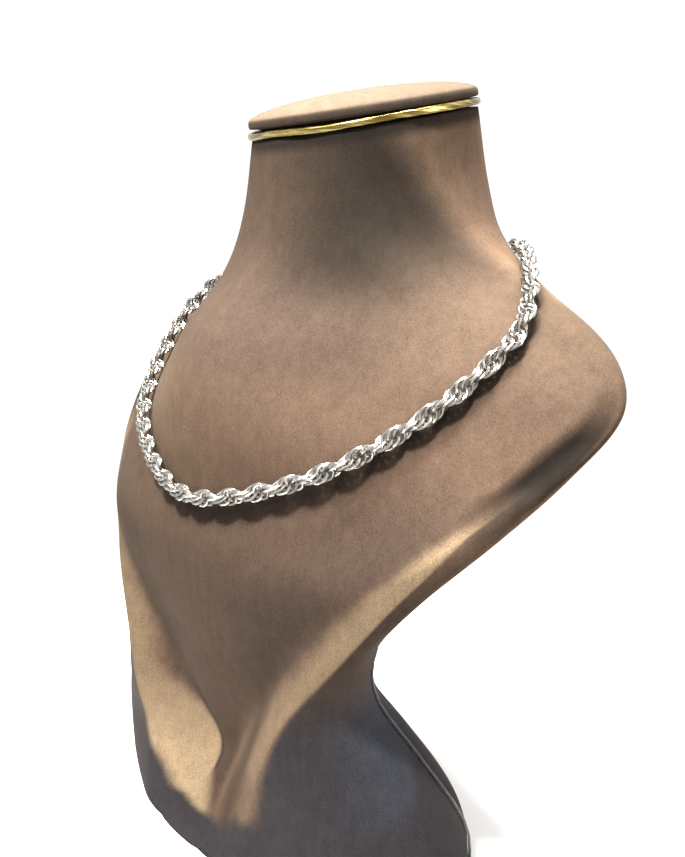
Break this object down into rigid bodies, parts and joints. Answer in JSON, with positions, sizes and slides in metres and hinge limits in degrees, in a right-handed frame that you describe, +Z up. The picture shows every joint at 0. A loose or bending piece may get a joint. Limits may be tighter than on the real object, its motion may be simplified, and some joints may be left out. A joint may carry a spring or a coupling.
{
  "type": "rope chain necklace on a neck bust",
  "caption": "Silver rope chain of interlocked twisting rings, closed by a plain barrel clasp, worn on a suede neck bust with a slanted cap and a gold trim band.",
  "frame": {"origin": "on the underside of the bust's foot, in the plane of symmetry, under the middle of the necklace's loop", "axes": "+Z up, the bust's front looks along -Y, +X to the right as seen from the front"},
  "size_m": [0.2754, 0.1533, 0.295],
  "materials": {
    "suede": "matt brown suede with a short nap",
    "gold_trim": "satin gold foil",
    "silver": "polished silver"
  },
  "bodies": {
    "root": {"bust": "suede", "neck_trim": "gold_trim", "neck_cap": "suede", "rope_chain": "silver", "clasp": "silver"}
  },
  "joints": []
}
